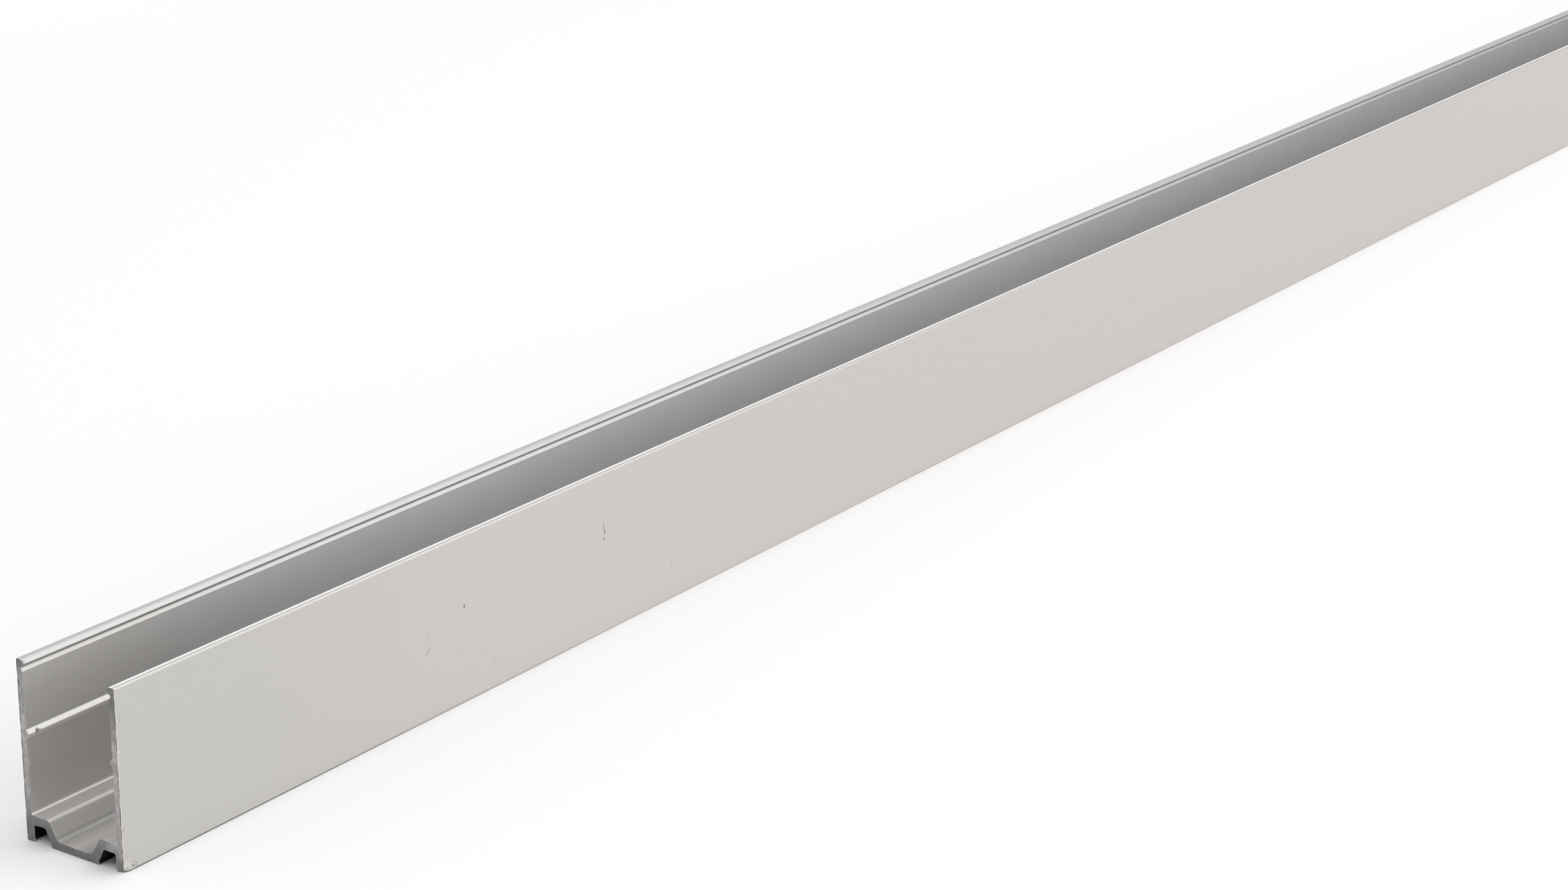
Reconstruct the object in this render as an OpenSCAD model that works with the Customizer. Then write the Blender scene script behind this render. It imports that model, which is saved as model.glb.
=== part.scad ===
// Aluminium mounting channel: one straight length of extruded stock.
// The section is drawn once, with Y across and Z up, and runs straight along X, as the die makes it.
// Origin: middle of the length and of the width, on the plane that the feet and the base rest on.

/* [Stock] */
// Length of the cut piece
stock_length = 1000; // [100:10:3000]
// Width over the outer faces of the walls
overall_w = 17; // [16:0.5:30]
// Height from the feet to the tops of the walls
overall_h = 25; // [20:0.5:40]
// Thickness of the upright walls
wall_t = 1; // [0.8:0.05:1.5]

/* [Snap lips along the tops of the walls] */
// How far each lip stands inwards from its wall
lip_reach = 0.5; // [0.2:0.05:1]
// Height of the lead-in bevel, from the wall's top down to the nose
lip_bevel_h = 0.55; // [0.3:0.05:1]
// Height of the undercut, from the nose down to the root of the groove
lip_undercut_h = 0.65; // [0.3:0.05:1.2]
// Depth of the groove under the lip, cut into the wall
groove_depth = 0.3; // [0.1:0.05:0.5]
// Height of the slope from the root of the groove back to the wall
groove_slope_h = 0.5; // [0.2:0.05:1]

/* [Ribs at mid height] */
// How far each rib stands inwards from its wall
rib_reach = 0.5; // [0.2:0.05:1]
// Distance from the wall's top down to the rib's tip
rib_drop = 10.15; // [4:0.05:12]
// Height of the rib's upper slope
rib_upper_h = 0.6; // [0.3:0.05:1.2]
// Height of the rib's lower slope
rib_lower_h = 0.7; // [0.3:0.05:1.2]

/* [Base] */
// Width of the trough's flat floor
floor_w = 6; // [4:0.1:8]
// Thickness of the trough's floor
floor_t = 1.15; // [0.9:0.05:1.6]
// Depth of the trough below the shoulders
trough_depth = 2.6; // [2:0.1:4]
// Slope of the trough's flanks, in degrees from level
flank_angle = 60; // [50:1:75]
// Thickness of the flanks, square to their slope
flank_t = 1.3; // [1:0.05:1.45]
// Thickness of the shoulders beside the trough
shoulder_t = 1.4; // [1:0.05:1.8]
// How far the flat underside runs out past each edge of the trough's floor
heel_w = 1.15; // [1:0.05:1.4]
// Thickness of the feet below the walls
foot_t = 1.35; // [1:0.05:2]

/* [Rounded edges] */
// Radius along the outer top edges of the walls
top_edge_r = 0.3; // [0.1:0.05:0.4]
// Radius that leads from the tops of the walls into the bevels of the lips
lip_top_r = 0.7; // [0.1:0.05:0.8]
// Radius along the noses of the lips
nose_r = 0.1; // [0.05:0.01:0.2]
// Radius along the tips of the ribs
rib_tip_r = 0.15; // [0.05:0.01:0.25]
// Radius where the ribs and the groove run into the wall
root_r = 0.15; // [0.05:0.01:0.3]
// Radius in the corner of wall and shoulder
wall_root_r = 0.3; // [0.1:0.05:0.8]
// Radius along the trough's upper edges
shoulder_edge_r = 0.8; // [0.1:0.05:1.6]
// Radius in the corners of the trough's floor
floor_corner_r = 1; // [0.1:0.05:2]
// Radius along the outer bottom edges of the feet and the edges of the flat underside
foot_edge_r = 0.2; // [0.1:0.05:0.4]
// Radius along the inner bottom edges of the feet
foot_inner_r = 0.4; // [0.1:0.05:0.6]
// Radius in the corners of the hollows under the shoulders
hollow_corner_r = 0.3; // [0.1:0.05:0.5]

/* [Hidden] */
$fn = 48;

// How far an arc laps the flats beside it, so that the two cross in one clean edge
arc_lap = 0.001;
// How much larger than its corner the piece is that an arc is cut from
corner_spare = 1.1;

// Places across the section, from the middle plane
outer_y = overall_w / 2;
wall_y = outer_y - wall_t;
nose_y = wall_y - lip_reach;
groove_y = wall_y + groove_depth;
rib_y = wall_y - rib_reach;
foot_y = outer_y - foot_t;
floor_y = floor_w / 2;
flank_y = floor_y + trough_depth / tan(flank_angle);
heel_y = floor_y + heel_w;

// Heights in the section, from the feet
nose_z = overall_h - lip_bevel_h;
groove_z = nose_z - lip_undercut_h;
groove_end_z = groove_z - groove_slope_h;
rib_z = overall_h - rib_drop;
shoulder_z = floor_t + trough_depth;
hollow_z = shoulder_z - shoulder_t;

// The outside of a flank is its inside moved out by the flank's thickness
flank_out = flank_t / sin(flank_angle);
hollow_y = floor_y + (hollow_z - floor_t) / tan(flank_angle) + flank_out;
heel_z = floor_t + (heel_y - flank_out - floor_y) * tan(flank_angle);

// One side of the section, anticlockwise from the middle of the underside to the middle of the floor.
// Each corner is its place across, its height and the radius that rounds it.
half_outline = [
    [heel_y, 0, foot_edge_r],
    [heel_y, heel_z, hollow_corner_r],
    [hollow_y, hollow_z, hollow_corner_r],
    [foot_y, hollow_z, hollow_corner_r],
    [foot_y, 0, foot_inner_r],
    [outer_y, 0, foot_edge_r],
    [outer_y, overall_h, top_edge_r],
    [wall_y, overall_h, lip_top_r],
    [nose_y, nose_z, nose_r],
    [groove_y, groove_z, root_r],
    [wall_y, groove_end_z, root_r],
    [wall_y, rib_z + rib_upper_h, root_r],
    [rib_y, rib_z, rib_tip_r],
    [wall_y, rib_z - rib_lower_h, root_r],
    [wall_y, shoulder_z, wall_root_r],
    [flank_y, shoulder_z, shoulder_edge_r],
    [floor_y, floor_t, floor_corner_r]
];

// The other side is the same, mirrored and taken the other way round
last = len(half_outline) - 1;
other_half = [for (i = [last:-1:0]) [-half_outline[i][0], half_outline[i][1], half_outline[i][2]]];
outline = concat(half_outline, other_half);
corners = [for (p = outline) [p[0], p[1]]];
corner_count = len(corners);

function corner(i) = corners[(i + corner_count) % corner_count];
function unit(v) = v / norm(v);
function to_last(i) = unit(corner(i - 1) - corner(i));
function to_next(i) = unit(corner(i + 1) - corner(i));
function half_angle(i) = acos(to_last(i) * to_next(i)) / 2;
function juts_out(i) = cross(corner(i) - corner(i - 1), corner(i + 1) - corner(i)) > 0;
function shorter_side(i) = min(norm(corner(i - 1) - corner(i)), norm(corner(i + 1) - corner(i)));

// A corner's radius, limited so that its arc takes at most half of the shorter side beside it
function fitted_r(i) = min(outline[i][2], shorter_side(i) / 2 * tan(half_angle(i)));

// What lies between corner i and the arc that rounds it.
// The kite has the arc's centre, its two ends and the corner, all seen from the centre.
module corner_waste(i) {
    r = fitted_r(i);
    run = r / tan(half_angle(i));
    tip = -unit(to_last(i) + to_next(i)) * r / sin(half_angle(i));
    kite = [[0, 0], tip + to_last(i) * run, tip, tip + to_next(i) * run];
    translate(corner(i) - tip)
        difference() {
            polygon(kite * corner_spare);
            circle(r + arc_lap);
        }
}

// Pushes a flat shape along the whole length, as the die does
module extruded() {
    rotate([90, 0, 90])
        linear_extrude(height = stock_length, center = true)
            children();
}

// The whole piece, walls, lips, ribs, shoulders and trough in one.
// The straight outline has its inner corners filled and its outer corners cut, each to an arc.
module channel_profile() {
    color("silver")
        difference() {
            union() {
                extruded() polygon(corners);
                for (i = [0 : corner_count - 1])
                    if (!juts_out(i))
                        extruded() corner_waste(i);
            }
            for (i = [0 : corner_count - 1])
                if (juts_out(i))
                    extruded() corner_waste(i);
        }
}

channel_profile();
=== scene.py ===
import math
import bpy
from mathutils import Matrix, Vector


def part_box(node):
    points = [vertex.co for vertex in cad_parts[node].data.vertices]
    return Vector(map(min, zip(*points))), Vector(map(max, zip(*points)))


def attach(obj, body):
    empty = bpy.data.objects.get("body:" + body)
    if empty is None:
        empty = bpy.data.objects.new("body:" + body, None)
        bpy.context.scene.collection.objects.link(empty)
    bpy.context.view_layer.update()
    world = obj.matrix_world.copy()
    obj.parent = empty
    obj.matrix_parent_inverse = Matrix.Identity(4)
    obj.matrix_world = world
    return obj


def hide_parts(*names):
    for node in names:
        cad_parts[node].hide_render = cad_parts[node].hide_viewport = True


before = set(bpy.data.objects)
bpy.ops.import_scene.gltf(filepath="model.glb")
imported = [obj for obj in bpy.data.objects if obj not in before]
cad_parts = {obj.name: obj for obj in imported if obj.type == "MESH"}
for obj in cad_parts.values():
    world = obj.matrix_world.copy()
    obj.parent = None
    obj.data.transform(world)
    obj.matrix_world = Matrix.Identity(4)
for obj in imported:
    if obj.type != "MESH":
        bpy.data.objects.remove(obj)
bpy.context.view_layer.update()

# The channel: one length of aluminium, pushed through a die as a tall U with snap lips along its mouth,
# a rib halfway down each wall and a sunken trough in its base. It is clear anodised to a satin grey,
# and then sawn to length, so both ends are bare metal with a ragged edge.

mm = 0.001
low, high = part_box("channel_profile")
length = high[0] - low[0]
outer_y = high[1]
top_z = high[2]

# Walls, with the bevelled lip and the groove along each top, and the rib halfway down
wall_t = 1.0 * mm
lip_reach = 0.5 * mm
lip_bevel_h = 0.55 * mm
lip_undercut_h = 0.65 * mm
groove_depth = 0.3 * mm
groove_slope_h = 0.5 * mm
rib_reach = 0.5 * mm
rib_drop = 10.15 * mm
rib_upper_h = 0.6 * mm
rib_lower_h = 0.7 * mm

# Base, with the trough between two shoulders, a hollow under each shoulder, and the feet of the walls
floor_w = 6.0 * mm
floor_t = 1.15 * mm
trough_depth = 2.6 * mm
flank_angle = math.radians(60)
flank_t = 1.3 * mm
shoulder_t = 1.4 * mm
heel_w = 1.15 * mm
foot_t = 1.35 * mm

# Radii of the corners, from the mouth down to the feet
top_edge_r = 0.3 * mm
lip_top_r = 0.7 * mm
nose_r = 0.1 * mm
root_r = 0.15 * mm
rib_tip_r = 0.15 * mm
wall_root_r = 0.3 * mm
shoulder_edge_r = 0.8 * mm
floor_corner_r = 1.0 * mm
hollow_corner_r = 0.3 * mm
foot_inner_r = 0.4 * mm
foot_edge_r = 0.2 * mm

# Places across, from the middle plane, and heights, from the feet
wall_y = outer_y - wall_t
rib_y = wall_y - rib_reach
foot_y = outer_y - foot_t
floor_y = floor_w / 2
heel_y = floor_y + heel_w
nose_z = top_z - lip_bevel_h
groove_z = nose_z - lip_undercut_h
rib_z = top_z - rib_drop
shoulder_z = floor_t + trough_depth
hollow_z = shoulder_z - shoulder_t

# The outside of a flank is its inside moved out by the flank's thickness
flank_out = flank_t / math.sin(flank_angle)
flank_y = floor_y + trough_depth / math.tan(flank_angle)
hollow_y = floor_y + (hollow_z - floor_t) / math.tan(flank_angle) + flank_out
heel_z = floor_t + (heel_y - flank_out - floor_y) * math.tan(flank_angle)

# One side of the section, from the middle of the underside round to the middle of the floor.
# Each corner is its place across, its height, and the radius that rounds it.
half_section = [
    (heel_y, 0.0, foot_edge_r),
    (heel_y, heel_z, hollow_corner_r),
    (hollow_y, hollow_z, hollow_corner_r),
    (foot_y, hollow_z, hollow_corner_r),
    (foot_y, 0.0, foot_inner_r),
    (outer_y, 0.0, foot_edge_r),
    (outer_y, top_z, top_edge_r),
    (wall_y, top_z, lip_top_r),
    (wall_y - lip_reach, nose_z, nose_r),
    (wall_y + groove_depth, groove_z, root_r),
    (wall_y, groove_z - groove_slope_h, root_r),
    (wall_y, rib_z + rib_upper_h, root_r),
    (rib_y, rib_z, rib_tip_r),
    (wall_y, rib_z - rib_lower_h, root_r),
    (wall_y, shoulder_z, wall_root_r),
    (flank_y, shoulder_z, shoulder_edge_r),
    (floor_y, floor_t, floor_corner_r),
]
other_half = [(-y, z, r) for y, z, r in reversed(half_section)]
section = half_section + other_half
corner_count = len(section)
section_mesh = bpy.data.meshes.new("channel_section")
section_edges = [(i, (i + 1) % corner_count) for i in range(corner_count)]
section_mesh.from_pydata([(y, z, 0) for y, z, r in section], section_edges, [])
corner_radius = section_mesh.attributes.new("corner_radius", "FLOAT", "POINT")
corner_radius.data.foreach_set("value", [r for y, z, r in section])


def linear(code):
    """Turns an sRGB hex colour into the linear RGBA that a shader takes."""
    levels = [int(code[i:i + 2], 16) / 255 for i in (1, 3, 5)]
    return [v / 12.92 if v <= 0.04045 else ((v + 0.055) / 1.055) ** 2.4 for v in levels] + [1.0]


def add(tree, kind, inputs=(), **settings):
    """Adds a node with its settings, and fills its inputs with values, sockets or nodes' first outputs."""
    node = tree.nodes.new(kind)
    for name, value in settings.items():
        setattr(node, name, value)
    for name, value in dict(inputs).items():
        named = [s for s in node.inputs if s.name == name and s.enabled]
        socket = node.inputs[name] if isinstance(name, int) else named[0]
        if isinstance(value, bpy.types.Node):
            value = next(s for s in value.outputs if s.enabled)
        if isinstance(value, bpy.types.NodeSocket):
            tree.links.new(value, socket)
        else:
            socket.default_value = value
    return node


# Clear anodised aluminium, etched before it is dipped: an even, warm pale grey with a satin sheen.
# The die draws fine lines along the length, which spread reflections across it. They are drawn coarser
# than the real 0.05 mm so that they show.
anodised = bpy.data.materials.new("satin_clear_anodised_aluminium")
anodised.use_nodes = True
nodes = anodised.node_tree
nodes.nodes.clear()
place = add(nodes, "ShaderNodeTexCoord").outputs["Object"]
axes = add(nodes, "ShaderNodeSeparateXYZ", {"Vector": place}).outputs
die_line_gap = 0.35 * mm
die_line_run = 300 * mm
die_line_depth = 0.01 * mm
along_die = add(nodes, "ShaderNodeMapping", {
    "Vector": place,
    "Scale": (1 / die_line_run, 1 / die_line_gap, 1 / die_line_gap),
})
die_lines = add(nodes, "ShaderNodeTexNoise", {"Vector": along_die, "Scale": 1.0, "Detail": 3.0})
satin = add(nodes, "ShaderNodeMapRange", {"Value": die_lines, "To Min": 0.42, "To Max": 0.5})
die_relief = add(nodes, "ShaderNodeBump", {
    "Height": die_lines,
    "Strength": 0.04,
    "Distance": die_line_depth,
})

# A shade greyer near the ends, with a cloudy border: on the inside this is painted shade against the light
# that comes in at the open end
cloud_size = 45 * mm
cloud_reach = 60 * mm
grey_until = 40 * mm
full_tone_from = 130 * mm
clouds = add(nodes, "ShaderNodeTexNoise", {"Vector": place, "Scale": 1 / cloud_size, "Detail": 2.0})
along = add(nodes, "ShaderNodeMath", {0: axes["X"]}, operation="ABSOLUTE")
to_end = add(nodes, "ShaderNodeMath", {0: length / 2, 1: along}, operation="SUBTRACT")
cloudy_way = add(nodes, "ShaderNodeMath", {0: clouds, 1: cloud_reach, 2: to_end}, operation="MULTIPLY_ADD")
away_from_ends = add(nodes, "ShaderNodeMapRange", {
    "Value": cloudy_way,
    "From Min": grey_until,
    "From Max": full_tone_from,
}, interpolation_type="SMOOTHSTEP")
inside_lit_tint = add(nodes, "ShaderNodeMix", {
    "Factor": away_from_ends,
    "A": linear("#CECCCA"),
    "B": linear("#D7D7D7"),
}, data_type="RGBA")

# The outer faces are painted greyer and warmer than the inside, and the inside paler: painted light, as
# lit and shaded copies of one finish. The lips and the tops of the walls are painted a plain grey, up to
# the edge of the outer face, which is painted shade that dims their sheen.
face_depth = 0.15 * mm
across = add(nodes, "ShaderNodeMath", {0: axes["Y"]}, operation="ABSOLUTE")
outside = add(nodes, "ShaderNodeMath", {0: across, 1: wall_y + groove_depth}, operation="GREATER_THAN")
outside_shaded_tint = add(nodes, "ShaderNodeMix", {
    "Factor": away_from_ends,
    "A": linear("#C4C2BE"),
    "B": linear("#CAC5C2"),
}, data_type="RGBA")
wall_tint = add(nodes, "ShaderNodeMix", {
    "Factor": outside,
    "A": inside_lit_tint,
    "B": outside_shaded_tint,
}, data_type="RGBA")
lip_high = add(nodes, "ShaderNodeMath", {0: axes["Z"], 1: nose_z}, operation="GREATER_THAN")
off_face = add(nodes, "ShaderNodeMath", {0: across, 1: outer_y - face_depth}, operation="LESS_THAN")
on_lip = add(nodes, "ShaderNodeMath", {0: lip_high, 1: off_face}, operation="MULTIPLY")
tint = add(nodes, "ShaderNodeMix", {
    "Factor": on_lip,
    "A": wall_tint,
    "B": linear("#C6C5C4"),
}, data_type="RGBA")

# Handling has left a few marks on the near wall, each a short stroke: how far its two ends lie
# from the sawn end and above the feet, its width, all in millimetres, and how dark it is.
strokes = [
    (66.8, 14.5, 66.8, 14.3, 0.36, 0.8),
    (59.1, 10.6, 58.6, 9.9, 0.24, 0.45),
    (59.0, 12.5, 59.0, 11.9, 0.22, 0.16),
    (74.5, 12.1, 75.1, 11.4, 0.22, 0.12),
    (75.4, 9.2, 75.3, 8.9, 0.22, 0.16),
    (76.6, 9.2, 76.4, 9.0, 0.22, 0.12),
    (71.5, 6.0, 71.9, 5.2, 0.28, 0.1),
    (73.3, 4.7, 73.2, 4.1, 0.24, 0.16),
    (65.8, 7.6, 66.2, 7.5, 0.2, 0.22),
    (67.9, 4.5, 68.2, 4.4, 0.2, 0.22),
    (99.0, 21.0, 99.0, 14.6, 0.24, 0.05),
    (98.9, 17.6, 98.8, 17.3, 0.24, 0.25),
    (98.9, 17.0, 98.9, 16.4, 0.22, 0.42),
    (99.1, 16.0, 99.1, 15.6, 0.26, 0.85),
    (99.0, 14.9, 99.0, 14.6, 0.26, 0.6),
    (115.8, 5.4, 115.8, 5.2, 0.2, 0.5),
    (14.2, 14.1, 14.9, 13.4, 0.9, 0.04),
    (9.7, 9.6, 11.6, 9.3, 0.35, 0.05),
    (0.5, 21.3, 0.6, 20.4, 0.2, 0.2),
    (0.3, 6.1, 0.2, 5.8, 0.24, 0.45),
    (1.5, 0.65, 1.75, 0.55, 0.32, 0.6),
]
wobble_size = 0.5 * mm
wobble_reach = 0.3 * mm
wobble = add(nodes, "ShaderNodeTexNoise", {"Vector": place, "Scale": 1 / wobble_size, "Detail": 2.0})
centred = add(nodes, "ShaderNodeVectorMath", {
    0: wobble.outputs["Color"],
    1: (0.5, 0.5, 0.5),
}, operation="SUBTRACT")
shaken = add(nodes, "ShaderNodeVectorMath", {
    0: centred,
    1: (wobble_reach, 0, wobble_reach),
    2: place,
}, operation="MULTIPLY_ADD")

# A stroke is darkest in its core and gone past its rim, both given as shares of its width
stroke_core = 0.2
stroke_rim = 0.7
marks = 0.0
for x_from, z_from, x_to, z_to, width, dark in strokes:
    begin = Vector((low[0] + x_from * mm, -outer_y, z_from * mm))
    stroke = Vector((x_to - x_from, 0, z_to - z_from)) * mm
    offset = add(nodes, "ShaderNodeVectorMath", {0: shaken, 1: begin}, operation="SUBTRACT")
    share = add(nodes, "ShaderNodeVectorMath", {
        0: offset,
        1: stroke / stroke.length_squared,
    }, operation="DOT_PRODUCT")
    held = add(nodes, "ShaderNodeClamp", {"Value": share})
    nearest = add(nodes, "ShaderNodeVectorMath", {0: stroke, "Scale": held}, operation="SCALE")
    gap = add(nodes, "ShaderNodeVectorMath", {0: offset, 1: nearest}, operation="DISTANCE")
    mark = add(nodes, "ShaderNodeMapRange", {
        "Value": gap,
        "From Min": stroke_core * width * mm,
        "From Max": stroke_rim * width * mm,
        "To Min": dark,
        "To Max": 0.0,
    })
    marks = add(nodes, "ShaderNodeMath", {0: marks, 1: mark}, operation="MAXIMUM")

# The saw has torn the skin along the cut, in a thin ragged pale line on the outer faces
tear_size = 0.6 * mm
tear_least = 0.06 * mm
tear_most = 0.4 * mm
tear_blur = 0.1 * mm
tears = add(nodes, "ShaderNodeTexNoise", {"Vector": place, "Scale": 1 / tear_size, "Detail": 3.0})
tear_reach = add(nodes, "ShaderNodeMapRange", {
    "Value": tears,
    "From Min": 0.5,
    "From Max": 0.8,
    "To Min": tear_least,
    "To Max": tear_most,
})
past_tear = add(nodes, "ShaderNodeMath", {0: to_end, 1: tear_reach}, operation="SUBTRACT")
ragged = add(nodes, "ShaderNodeMapRange", {
    "Value": past_tear,
    "From Min": 0.0,
    "From Max": tear_blur,
    "To Min": 1.0,
    "To Max": 0.0,
})
torn = add(nodes, "ShaderNodeMath", {0: ragged, 1: outside}, operation="MULTIPLY")

# The near bottom corner has been knocked, and is scuffed pale and pitted dark around the blow
knocked = Vector(low)
scuff_core = 0.8 * mm
scuff_reach = 3.0 * mm
knock_gap = add(nodes, "ShaderNodeVectorMath", {0: place, 1: knocked}, operation="DISTANCE")
knock_near = add(nodes, "ShaderNodeMapRange", {
    "Value": knock_gap,
    "From Min": scuff_core,
    "From Max": scuff_reach,
    "To Min": 1.0,
    "To Max": 0.0,
})
scuffed = add(nodes, "ShaderNodeMapRange", {"Value": tears, "From Min": 0.47, "From Max": 0.62})
scuffs = add(nodes, "ShaderNodeMath", {0: knock_near, 1: scuffed}, operation="MULTIPLY")
pitted = add(nodes, "ShaderNodeMapRange", {
    "Value": tears,
    "From Min": 0.39,
    "From Max": 0.47,
    "To Min": 0.55,
    "To Max": 0.0,
})
pits = add(nodes, "ShaderNodeMath", {0: knock_near, 1: pitted}, operation="MULTIPLY")
marks = add(nodes, "ShaderNodeMath", {0: marks, 1: pits}, operation="MAXIMUM")

# A smaller knock has nicked and bruised the far wall's rib
nick_from_end = 1.6 * mm
nicked = Vector((low[0] + nick_from_end, rib_y, rib_z))
bruise_core = 0.2 * mm
bruise_reach = 0.5 * mm
nick_gap = add(nodes, "ShaderNodeVectorMath", {0: shaken, 1: nicked}, operation="DISTANCE")
bruise = add(nodes, "ShaderNodeMapRange", {
    "Value": nick_gap,
    "From Min": bruise_core,
    "From Max": bruise_reach,
    "To Min": 0.75,
    "To Max": 0.0,
})
marks = add(nodes, "ShaderNodeMath", {0: marks, 1: bruise}, operation="MAXIMUM")

# Painted shade: the hollows under the base are painted nearly black, where little light gets in
hollow_margin = 0.02 * mm
under_base = add(nodes, "ShaderNodeMath", {
    0: across,
    1: (heel_y + foot_y) / 2,
    2: (foot_y - heel_y) / 2 + hollow_margin,
}, operation="COMPARE")
below_roof = add(nodes, "ShaderNodeMath", {0: axes["Z"], 1: hollow_z + hollow_margin}, operation="LESS_THAN")
painted_hollow_shade = add(nodes, "ShaderNodeMath", {0: under_base, 1: below_roof}, operation="MULTIPLY")

# Painted shade: a dark line along the outer edge of each foot, for the contact shadow that the rounded
# edge reflects, fading away from the ends
shade_full_h = 0.12 * mm
shade_gone_h = 0.22 * mm
shade_full_run = 20 * mm
shade_gone_run = 110 * mm
low_edge = add(nodes, "ShaderNodeMapRange", {
    "Value": axes["Z"],
    "From Min": shade_full_h,
    "From Max": shade_gone_h,
    "To Min": 1.0,
    "To Max": 0.0,
})
shaded_edge = add(nodes, "ShaderNodeMath", {0: low_edge, 1: outside}, operation="MULTIPLY")
shaded_end = add(nodes, "ShaderNodeMapRange", {
    "Value": to_end,
    "From Min": shade_full_run,
    "From Max": shade_gone_run,
    "To Min": 1.0,
    "To Max": 0.0,
})
painted_foot_shade = add(nodes, "ShaderNodeMath", {0: shaded_edge, 1: shaded_end}, operation="MULTIPLY")

# Painted shadow darkens the groove under each lip, and the trough's floor is painted darker, most in its
# corners, which dims their highlight
groove_shade_share = 0.6
corner_darkening = 0.55
darkening_core = 0.3 * mm
darkening_reach = 3.2 * mm
darkening_full_h = 0.3 * mm
darkening_gone_h = 0.7 * mm
in_groove = add(nodes, "ShaderNodeMath", {
    0: across,
    1: wall_y,
    2: groove_depth,
}, operation="COMPARE")
under_lip = add(nodes, "ShaderNodeMath", {
    0: axes["Z"],
    1: (groove_z + nose_z) / 2,
    2: lip_undercut_h / 2,
}, operation="COMPARE")
in_groove_under_lip = add(nodes, "ShaderNodeMath", {0: in_groove, 1: under_lip}, operation="MULTIPLY")
folded = add(nodes, "ShaderNodeCombineXYZ", {"Y": across, "Z": axes["Z"]})
floor_corner = (0, floor_y, floor_t)
corner_gap = add(nodes, "ShaderNodeVectorMath", {0: folded, 1: floor_corner}, operation="DISTANCE")
from_corner = add(nodes, "ShaderNodeMapRange", {
    "Value": corner_gap,
    "From Min": darkening_core,
    "From Max": darkening_reach,
    "To Min": corner_darkening,
    "To Max": 0.0,
})
low_down = add(nodes, "ShaderNodeMapRange", {
    "Value": axes["Z"],
    "From Min": floor_t + darkening_full_h,
    "From Max": floor_t + darkening_gone_h,
    "To Min": 1.0,
    "To Max": 0.0,
})
floor_darkening = add(nodes, "ShaderNodeMath", {0: from_corner, 1: low_down}, operation="MULTIPLY")
groove_and_floor_shade = add(nodes, "ShaderNodeMath", {0: in_groove_under_lip, 1: groove_shade_share, 2: floor_darkening}, operation="MULTIPLY_ADD")

# Painted highlight: the near lip's inner edge is painted near white, with less of the metal showing there
highlight_half_w = 0.5 * mm
highlight_depth = 0.3 * mm
at_edge = add(nodes, "ShaderNodeMath", {
    0: axes["Y"],
    1: -wall_y,
    2: highlight_half_w,
}, operation="COMPARE")
on_top = add(nodes, "ShaderNodeMath", {0: axes["Z"], 1: top_z - highlight_depth}, operation="GREATER_THAN")
painted_lip_highlight = add(nodes, "ShaderNodeMath", {0: at_edge, 1: on_top}, operation="MULTIPLY")
metal_share = add(nodes, "ShaderNodeMapRange", {"Value": painted_lip_highlight, "To Min": 0.7, "To Max": 0.05})

# Painted highlights: the ribs are painted bright, and so is the corner where each wall meets its shoulder
highlight_start = 0.05 * mm
root_core = 0.22 * mm
root_reach = 0.34 * mm
off_wall = add(nodes, "ShaderNodeMath", {0: across, 1: wall_y - highlight_start}, operation="LESS_THAN")
at_rib = add(nodes, "ShaderNodeMath", {
    0: axes["Z"],
    1: rib_z + (rib_upper_h - rib_lower_h) / 2,
    2: (rib_upper_h + rib_lower_h) / 2,
}, operation="COMPARE")
painted_rib_highlight = add(nodes, "ShaderNodeMath", {0: off_wall, 1: at_rib}, operation="MULTIPLY")
wall_root = (0, wall_y, shoulder_z)
root_gap = add(nodes, "ShaderNodeVectorMath", {0: folded, 1: wall_root}, operation="DISTANCE")
painted_root_highlight = add(nodes, "ShaderNodeMapRange", {
    "Value": root_gap,
    "From Min": root_core,
    "From Max": root_reach,
    "To Min": 1.0,
    "To Max": 0.0,
})

# Wear, dirt, painted highlights and painted shade lie over the finish in this order, each with its colour
layers = (
    (scuffs, "#D6D2D0"),
    (painted_rib_highlight, "#E3E1DF"),
    (painted_root_highlight, "#F2F0EE"),
    (marks, "#4A4745"),
    (torn, "#D8D4D1"),
    (groove_and_floor_shade, "#7B7977"),
    (painted_lip_highlight, "#FCFBFA"),
    (painted_foot_shade, "#2A2826"),
    (painted_hollow_shade, "#1C1A18"),
)
worn_tint = tint
for layer, code in layers:
    worn_tint = add(nodes, "ShaderNodeMix", {
        "Factor": layer,
        "A": worn_tint,
        "B": linear(code),
    }, data_type="RGBA")
along_length = add(nodes, "ShaderNodeCombineXYZ", {"X": 1.0})
surface = add(nodes, "ShaderNodeBsdfPrincipled", {
    "Base Color": worn_tint,
    "Metallic": metal_share,
    "Roughness": satin,
    "Anisotropic": 0.6,
    "Anisotropic Rotation": 0.25,
    "Normal": die_relief,
    "Tangent": along_length,
})
add(nodes, "ShaderNodeOutputMaterial", {"Surface": surface})

# Aluminium as the saw leaves it: bare and dull, mottled by the teeth. It is palest halfway up the walls,
# in a band that runs a little askew, lower on the near side, which is painted light, and darkest on the
# lips and across the thick base.
sawn = bpy.data.materials.new("sawn_bare_aluminium")
sawn.use_nodes = True
nodes = sawn.node_tree
nodes.nodes.clear()
place = add(nodes, "ShaderNodeTexCoord").outputs["Object"]
axes = add(nodes, "ShaderNodeSeparateXYZ", {"Vector": place}).outputs
band_z = 12.2 * mm
painted_light_tilt = 0.21
band_core = 5 * mm
band_reach = 13 * mm
band = add(nodes, "ShaderNodeMath", {0: axes["Y"], 1: painted_light_tilt, 2: band_z}, operation="MULTIPLY_ADD")
above = add(nodes, "ShaderNodeMath", {0: axes["Z"], 1: band}, operation="SUBTRACT")
off_band = add(nodes, "ShaderNodeMath", {0: above}, operation="ABSOLUTE")
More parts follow.
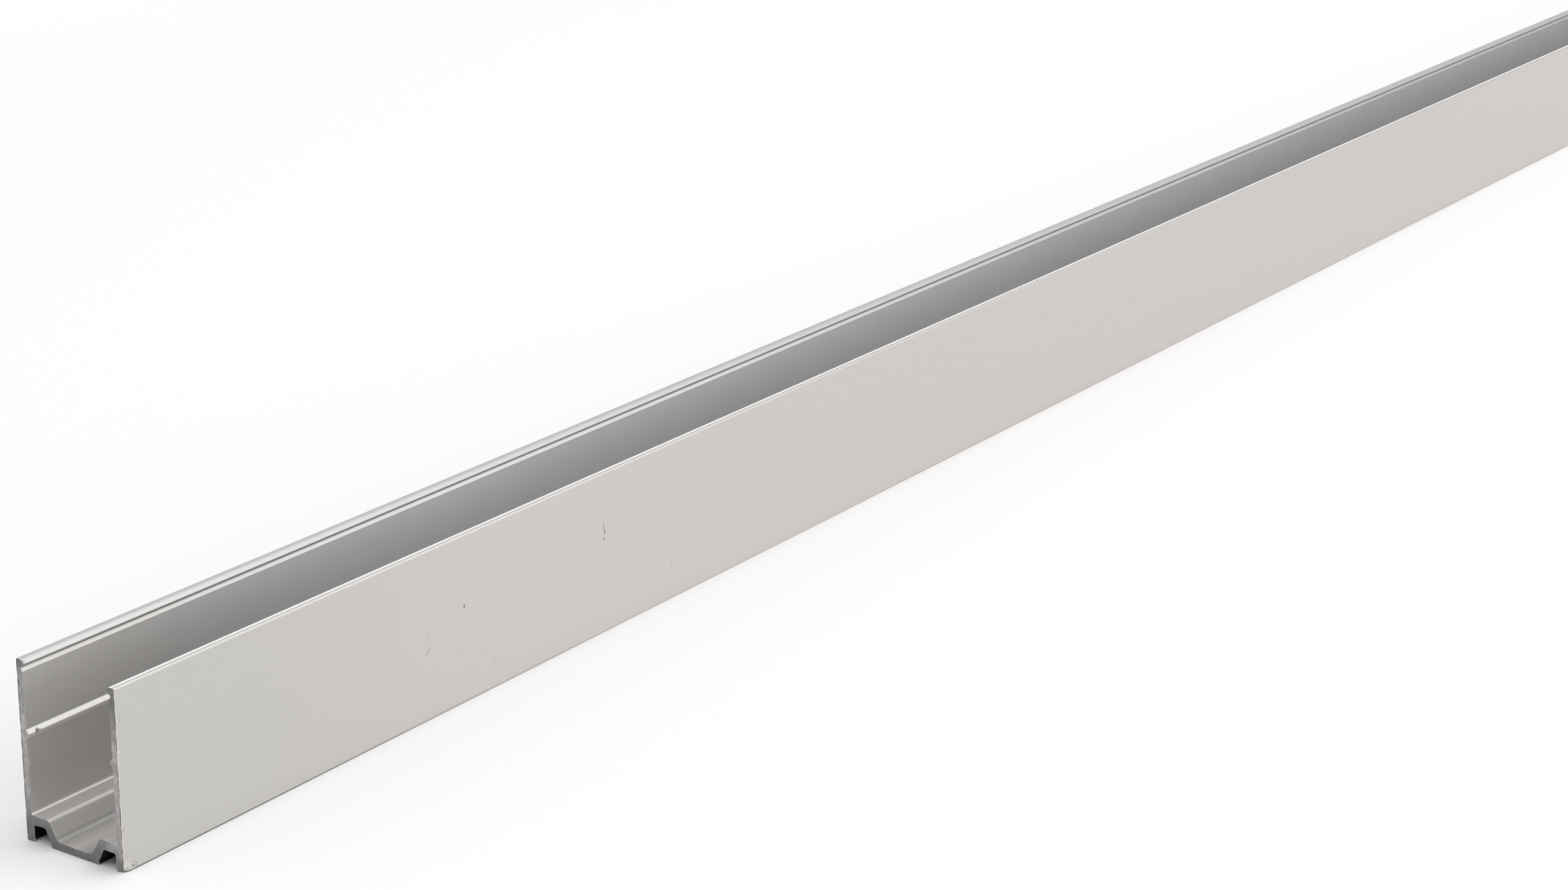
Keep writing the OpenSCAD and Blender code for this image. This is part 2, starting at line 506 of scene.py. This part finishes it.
in_band = add(nodes, "ShaderNodeMapRange", {
    "Value": off_band,
    "From Min": band_core,
    "From Max": band_reach,
    "To Min": 1.0,
    "To Max": 0.0,
}, interpolation_type="SMOOTHSTEP")
across = add(nodes, "ShaderNodeMath", {0: axes["Y"]}, operation="ABSOLUTE")
on_wall = add(nodes, "ShaderNodeMapRange", {
    "Value": across,
    "From Min": floor_y,
    "From Max": wall_y,
}, interpolation_type="SMOOTHSTEP")
paler = add(nodes, "ShaderNodeMath", {0: in_band, 1: on_wall}, operation="MULTIPLY")
bare = add(nodes, "ShaderNodeMix", {
    "Factor": paler,
    "A": linear("#838180"),
    "B": linear("#B7B4B3"),
}, data_type="RGBA")
mottle_size = 0.9 * mm
mottle = add(nodes, "ShaderNodeTexNoise", {"Vector": place, "Scale": 1 / mottle_size, "Detail": 4.0})
rubbed = add(nodes, "ShaderNodeMapRange", {
    "Value": mottle,
    "From Min": 0.42,
    "From Max": 0.7,
    "To Min": 0.0,
    "To Max": 0.5,
})
mottled = add(nodes, "ShaderNodeMix", {
    "Factor": rubbed,
    "A": bare,
    "B": linear("#6B6967"),
}, data_type="RGBA")

# A burr along the outer edges is painted dark in short dashes: painted shade, for the shadowed floor that
# the bent edge reflects
dash_size = 0.8 * mm
burr_w = 0.2 * mm
dashes = add(nodes, "ShaderNodeTexNoise", {"Vector": place, "Scale": 1 / dash_size, "Detail": 2.0})
dashed = add(nodes, "ShaderNodeMapRange", {
    "Value": dashes,
    "From Min": 0.42,
    "From Max": 0.52,
    "To Min": 0.0,
    "To Max": 0.85,
})
at_rim = add(nodes, "ShaderNodeMath", {0: across, 1: outer_y - burr_w}, operation="GREATER_THAN")
painted_burr_shade = add(nodes, "ShaderNodeMath", {0: at_rim, 1: dashed}, operation="MULTIPLY")
cut_tint = add(nodes, "ShaderNodeMix", {
    "Factor": painted_burr_shade,
    "A": mottled,
    "B": linear("#55524F"),
}, data_type="RGBA")

# The teeth leave fine slanted scratches
tooth_gap = 0.25 * mm
tooth_run = 6 * mm
tooth_depth = 0.03 * mm
saw_slant = math.radians(20)
across_saw = add(nodes, "ShaderNodeMapping", {
    "Vector": place,
    "Scale": (1 / tooth_run, 1 / tooth_gap, 1 / tooth_run),
    "Rotation": (saw_slant, 0, 0),
})
tooth_marks = add(nodes, "ShaderNodeTexNoise", {"Vector": across_saw, "Scale": 1.0, "Detail": 2.0})
tooth_relief = add(nodes, "ShaderNodeBump", {
    "Height": tooth_marks,
    "Strength": 0.4,
    "Distance": tooth_depth,
})
surface = add(nodes, "ShaderNodeBsdfPrincipled", {
    "Base Color": cut_tint,
    "Metallic": 1.0,
    "Roughness": 0.55,
    "Normal": tooth_relief,
})
add(nodes, "ShaderNodeOutputMaterial", {"Surface": surface})

# The die and the saw: the section is rounded, swept along the length, and broken along its sawn edges.
# Rings are close together at the ends, where the damage is, and far apart between them.
sizes = {
    "Length": length,
    "Arc Steps": 6,
    "Point Gap": 0.25 * mm,
    "Rings": 36,
    "Ring Gap": 0.09 * mm,
    "Edge Break": 0.03 * mm,
    "Chip Depth": 0.1 * mm,
    "Chip Size": 0.9 * mm,
    "Edge Reach": 0.27 * mm,
    "Nick Place": nicked,
    "Nick Radius": 0.45 * mm,
    "Nick Depth": 0.3 * mm,
    "Knock Place": knocked,
    "Knock Radius": 1.3 * mm,
    "Knock Share": 0.15,
    "Seed": 7,
    "Wall Finish": anodised,
    "Cut Finish": sawn,
}
socket_types = {
    float: "NodeSocketFloat",
    int: "NodeSocketInt",
    Vector: "NodeSocketVector",
    bpy.types.Material: "NodeSocketMaterial",
}
die = bpy.data.node_groups.new("die_and_saw", "GeometryNodeTree")
die.is_modifier = True
die.interface.new_socket("Section", in_out="INPUT", socket_type="NodeSocketGeometry")
identifiers = {}
for name, value in sizes.items():
    socket = die.interface.new_socket(name, in_out="INPUT", socket_type=socket_types[type(value)])
    identifiers[name] = socket.identifier
die.interface.new_socket("Channel", in_out="OUTPUT", socket_type="NodeSocketGeometry")
given = add(die, "NodeGroupInput").outputs
index = add(die, "GeometryNodeInputIndex")
position = add(die, "GeometryNodeInputPosition")

# A sweep stands its section upside down, so the drawing is turned round first
drawn = add(die, "GeometryNodeMeshToCurve", {"Mesh": given["Section"]})
turned = add(die, "GeometryNodeTransform", {"Geometry": drawn, "Rotation": (0, 0, math.pi)})
radii = add(die, "GeometryNodeInputNamedAttribute", {"Name": "corner_radius"}, data_type="FLOAT")
rounded = add(die, "GeometryNodeFilletCurve", {
    "Curve": turned,
    "Count": given["Arc Steps"],
    "Radius": radii,
    "Limit Radius": True,
}, mode="POLY")

# Flats get points too, one for each gap, so that the sawn edge can be ragged along them
points = add(die, "GeometryNodeAttributeDomainSize", {"Geometry": rounded}, component="CURVE")
after = add(die, "ShaderNodeMath", {0: index, 1: 1.0}, operation="ADD")
wrapped = add(die, "ShaderNodeMath", {0: after, 1: points.outputs["Point Count"]}, operation="MODULO")
next_place = add(die, "GeometryNodeFieldAtIndex", {
    "Value": position,
    "Index": wrapped,
}, data_type="FLOAT_VECTOR")
run = add(die, "ShaderNodeVectorMath", {0: position, 1: next_place}, operation="DISTANCE")
cuts = add(die, "ShaderNodeMath", {0: run, 1: given["Point Gap"]}, operation="DIVIDE")
outline = add(die, "GeometryNodeSubdivideCurve", {"Curve": rounded, "Cuts": cuts})

# Rings along the length, counted from the nearer end: even steps at first, then ever longer ones
ring_total = add(die, "ShaderNodeMath", {0: given["Rings"], 1: 2.0, 2: 1.0}, operation="MULTIPLY_ADD")
line = add(die, "GeometryNodeMeshLine", {"Count": ring_total})
from_middle = add(die, "ShaderNodeMath", {0: index, 1: given["Rings"]}, operation="SUBTRACT")
side = add(die, "ShaderNodeMath", {0: from_middle}, operation="SIGN")
to_middle = add(die, "ShaderNodeMath", {0: from_middle}, operation="ABSOLUTE")
from_end = add(die, "ShaderNodeMath", {0: given["Rings"], 1: to_middle}, operation="SUBTRACT")
ring_share = add(die, "ShaderNodeMath", {0: from_end, 1: given["Rings"]}, operation="DIVIDE")
growth = 14.0
grown = add(die, "ShaderNodeMath", {0: ring_share, 1: growth}, operation="POWER")
half_length = add(die, "ShaderNodeMath", {0: given["Length"], 1: 0.5}, operation="MULTIPLY")
even_part = add(die, "ShaderNodeMath", {0: given["Ring Gap"], 1: given["Rings"]}, operation="MULTIPLY")
grown_part = add(die, "ShaderNodeMath", {0: half_length, 1: even_part}, operation="SUBTRACT")
even_steps = add(die, "ShaderNodeMath", {0: from_end, 1: given["Ring Gap"]}, operation="MULTIPLY")
depth = add(die, "ShaderNodeMath", {0: grown, 1: grown_part, 2: even_steps}, operation="MULTIPLY_ADD")
reach = add(die, "ShaderNodeMath", {0: half_length, 1: depth}, operation="SUBTRACT")
ring_x = add(die, "ShaderNodeMath", {0: reach, 1: side}, operation="MULTIPLY")
ring_place = add(die, "ShaderNodeCombineXYZ", {"X": ring_x})
spaced = add(die, "GeometryNodeSetPosition", {"Geometry": line, "Position": ring_place})
path = add(die, "GeometryNodeMeshToCurve", {"Mesh": spaced})
swept = add(die, "GeometryNodeCurveToMesh", {"Curve": path, "Profile Curve": outline, "Fill Caps": True})

# The saw breaks the edge of each end, more where a chip came off. Points move square to the walls.
normal = add(die, "GeometryNodeInputNormal")
sideways = add(die, "ShaderNodeVectorMath", {0: normal, 1: (0, 1, 1)}, operation="MULTIPLY")
outwards = add(die, "ShaderNodeVectorMath", {0: sideways}, operation="NORMALIZE")
spot = add(die, "ShaderNodeSeparateXYZ", {"Vector": position}).outputs
off_middle = add(die, "ShaderNodeMath", {0: spot["X"]}, operation="ABSOLUTE")
inset_from_end = add(die, "ShaderNodeMath", {0: half_length, 1: off_middle}, operation="SUBTRACT")
broken = add(die, "ShaderNodeMapRange", {
    "Value": inset_from_end,
    "From Min": 0.0,
    "From Max": given["Edge Reach"],
    "To Min": 1.0,
    "To Max": 0.0,
})
chip_scale = add(die, "ShaderNodeMath", {0: 1.0, 1: given["Chip Size"]}, operation="DIVIDE")
chip_noise = add(die, "ShaderNodeTexNoise", {
    "Vector": position,
    "W": given["Seed"],
    "Scale": chip_scale,
    "Detail": 3.0,
}, noise_dimensions="4D")
chips = add(die, "ShaderNodeMapRange", {
    "Value": chip_noise,
    "From Min": 0.5,
    "From Max": 0.75,
    "To Min": 0.0,
    "To Max": given["Chip Depth"],
})
break_depth = add(die, "ShaderNodeMath", {0: chips, 1: given["Edge Break"]}, operation="ADD")
break_in = add(die, "ShaderNodeMath", {0: break_depth, 1: broken}, operation="MULTIPLY")

# One knock has dented the far wall's rib, close to the near end
nick_way = add(die, "ShaderNodeVectorMath", {0: position, 1: given["Nick Place"]}, operation="DISTANCE")
nick_in = add(die, "ShaderNodeMapRange", {
    "Value": nick_way,
    "From Min": 0.0,
    "From Max": given["Nick Radius"],
    "To Min": given["Nick Depth"],
    "To Max": 0.0,
}, interpolation_type="SMOOTHSTEP")
worn_in = add(die, "ShaderNodeMath", {0: break_in, 1: nick_in}, operation="ADD")
inwards = add(die, "ShaderNodeMath", {0: worn_in, 1: -1.0}, operation="MULTIPLY")
push = add(die, "ShaderNodeVectorMath", {0: outwards, "Scale": inwards}, operation="SCALE")

# Another has rounded the near bottom corner: points near it are drawn towards a place inside the metal
knock_way = add(die, "ShaderNodeVectorMath", {0: position, 1: given["Knock Place"]}, operation="DISTANCE")
knock_pull = add(die, "ShaderNodeMapRange", {
    "Value": knock_way,
    "From Min": 0.0,
    "From Max": given["Knock Radius"],
    "To Min": given["Knock Share"],
    "To Max": 0.0,
}, interpolation_type="SMOOTHSTEP")
into_metal = add(die, "ShaderNodeVectorMath", {
    0: (1, 1, 1),
    "Scale": given["Knock Radius"],
}, operation="SCALE")
inside = add(die, "ShaderNodeVectorMath", {0: given["Knock Place"], 1: into_metal}, operation="ADD")
to_inside = add(die, "ShaderNodeVectorMath", {0: inside, 1: position}, operation="SUBTRACT")
pull = add(die, "ShaderNodeVectorMath", {0: to_inside, "Scale": knock_pull}, operation="SCALE")
moved = add(die, "ShaderNodeVectorMath", {0: push, 1: pull}, operation="ADD")
worn = add(die, "GeometryNodeSetPosition", {"Geometry": swept, "Offset": moved})
clean = add(die, "GeometryNodeRemoveAttribute", {"Geometry": worn, "Name": "corner_radius"})

# Faces that look along the length were made by the saw, the others by the die
least_facing = 0.75
flat = add(die, "GeometryNodeSetShadeSmooth", {"Geometry": clean, "Shade Smooth": False})
whole = add(die, "GeometryNodeRealizeInstances", {"Geometry": flat})
facing = add(die, "ShaderNodeSeparateXYZ", {"Vector": normal}).outputs
facing_end = add(die, "ShaderNodeMath", {0: facing["X"]}, operation="ABSOLUTE")
by_saw = add(die, "ShaderNodeMath", {0: facing_end, 1: least_facing}, operation="GREATER_THAN")
walled = add(die, "GeometryNodeSetMaterial", {"Geometry": whole, "Material": given["Wall Finish"]})
cut = add(die, "GeometryNodeSetMaterial", {
    "Geometry": walled,
    "Selection": by_saw,
    "Material": given["Cut Finish"],
})
add(die, "NodeGroupOutput", {"Channel": cut})

channel = bpy.data.objects.new("extruded_channel", section_mesh)
bpy.context.scene.collection.objects.link(channel)
sweep = channel.modifiers.new("die_and_saw", "NODES")
sweep.node_group = die
for name, value in sizes.items():
    sweep[identifiers[name]] = value
depsgraph = bpy.context.evaluated_depsgraph_get()
channel_mesh = bpy.data.meshes.new_from_object(channel.evaluated_get(depsgraph), depsgraph=depsgraph)
channel.modifiers.remove(sweep)
channel.data = channel_mesh
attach(channel, "root")
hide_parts("channel_profile")

# The studio: a pale floor that runs out of sight, an even white surround like a light tent,
# one large softbox low on the near side and a long one overhead, along the channel.
floor_reach = 12.0
floor_mesh = bpy.data.meshes.new("studio_floor")
floor_mesh.from_pydata([
    (-floor_reach, -floor_reach, 0),
    (floor_reach, -floor_reach, 0),
    (floor_reach, floor_reach, 0),
    (-floor_reach, floor_reach, 0),
], [], [(0, 1, 2, 3)])
floor = bpy.data.objects.new("studio_floor", floor_mesh)
bpy.context.scene.collection.objects.link(floor)

# Matt white paper: it keeps the channel's shadow close by, and is an even white further off
paper = bpy.data.materials.new("matt_white_paper")
paper.use_nodes = True
nodes = paper.node_tree
nodes.nodes.clear()
place = add(nodes, "ShaderNodeTexCoord").outputs["Object"]
shadow_reach = 0.1
white_from = 0.5
one_end = (length / 2, 0, 0)
other_end = (-length / 2, 0, 0)
short_of_one = add(nodes, "ShaderNodeVectorMath", {0: place, 1: one_end}, operation="MINIMUM")
under_channel = add(nodes, "ShaderNodeVectorMath", {0: short_of_one, 1: other_end}, operation="MAXIMUM")
way_off = add(nodes, "ShaderNodeVectorMath", {0: place, 1: under_channel}, operation="DISTANCE")
far_off = add(nodes, "ShaderNodeMapRange", {
    "Value": way_off,
    "From Min": shadow_reach,
    "From Max": white_from,
}, interpolation_type="SMOOTHSTEP")
rays = add(nodes, "ShaderNodeLightPath").outputs
seen = add(nodes, "ShaderNodeMath", {
    0: rays["Is Camera Ray"],
    1: rays["Is Glossy Ray"],
}, operation="MAXIMUM")
shown = add(nodes, "ShaderNodeMath", {0: seen, 1: rays["Is Transmission Ray"]}, operation="MAXIMUM")
blank = add(nodes, "ShaderNodeMath", {0: far_off, 1: shown}, operation="MULTIPLY")
matt = add(nodes, "ShaderNodeBsdfDiffuse", {"Color": linear("#F4F4F4")})
even_white = add(nodes, "ShaderNodeEmission", {"Color": (1, 1, 1, 1), "Strength": 1.0})
paper_look = add(nodes, "ShaderNodeMixShader", {0: blank, 1: matt, 2: even_white})
add(nodes, "ShaderNodeOutputMaterial", {"Surface": paper_look})
floor_mesh.materials.append(paper)

tent = bpy.data.worlds.new("light_tent")
tent.use_nodes = True
nodes = tent.node_tree
nodes.nodes.clear()
white = add(nodes, "ShaderNodeBackground", {"Color": (1, 1, 1, 1), "Strength": 0.72})
add(nodes, "ShaderNodeOutputWorld", {"Surface": white})
bpy.context.scene.world = tent


def softbox(name, place, target, width, height, radiance):
    """Hangs a soft rectangular lamp that faces the target and shows the given brightness."""
    lamp = bpy.data.lights.new(name, "AREA")
    lamp.shape = "RECTANGLE"
    lamp.size = width
    lamp.size_y = height
    lamp.energy = radiance * math.pi * width * height
    box = bpy.data.objects.new(name, lamp)
    box.location = place
    box.rotation_euler = (Vector(target) - Vector(place)).to_track_quat("-Z", "Y").to_euler()
    box.visible_camera = False
    bpy.context.scene.collection.objects.link(box)


near_half = (-0.3, 0, 0)
softbox("softbox_low", (0.82, -1.61, 1.0), near_half, width=1.9, height=1.6, radiance=1.7)
softbox("softbox_overhead", (-0.3, -0.15, 1.7), near_half, width=3.0, height=0.6, radiance=2.1)

# The camera, a long lens that looks down along the channel past its near sawn end
camera_data = bpy.data.cameras.new("camera")
camera_data.sensor_width = 36.0
camera_data.lens = 75.67
camera_data.clip_start = 0.01
camera = bpy.data.objects.new("camera", camera_data)
camera.location = (-0.76251, -0.28231, 0.18389)
camera.rotation_euler = [math.radians(v) for v in (71.185, -0.783, -55.900)]
bpy.context.scene.collection.objects.link(camera)
bpy.context.scene.camera = camera
bpy.context.scene.view_settings.view_transform = "Standard"
